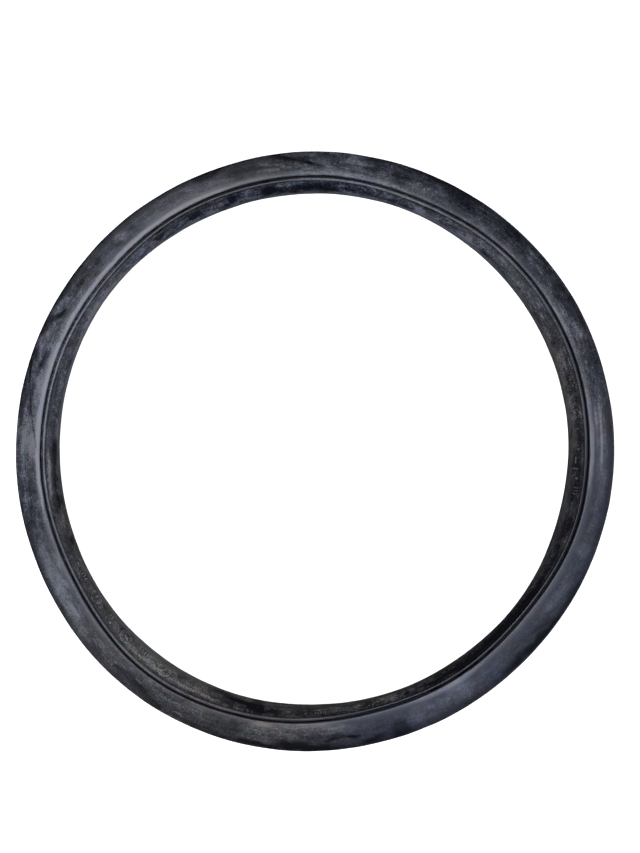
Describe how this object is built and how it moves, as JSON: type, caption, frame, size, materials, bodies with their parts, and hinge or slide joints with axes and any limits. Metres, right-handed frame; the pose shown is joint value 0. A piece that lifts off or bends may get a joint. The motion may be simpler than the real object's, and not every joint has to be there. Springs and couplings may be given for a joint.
{
  "type": "pipe gasket",
  "caption": "Thick moulded rubber ring gasket for a push-on pipe joint: sloping front face with a narrow groove and lip, sloping entry wall, plain outer wall and rounded rear.",
  "frame": {"origin": "on the ring's axis, in the plane of the flat rear face", "axes": "+Z along the ring's axis, from the rear face towards the front face with the groove; +Y is the top of the ring as it is usually pictured"},
  "size_m": [0.368, 0.368, 0.034],
  "materials": {
    "rubber": "matte moulded rubber with a faint grey bloom"
  },
  "bodies": {
    "root": {"gasket_ring": "rubber"}
  },
  "joints": []
}
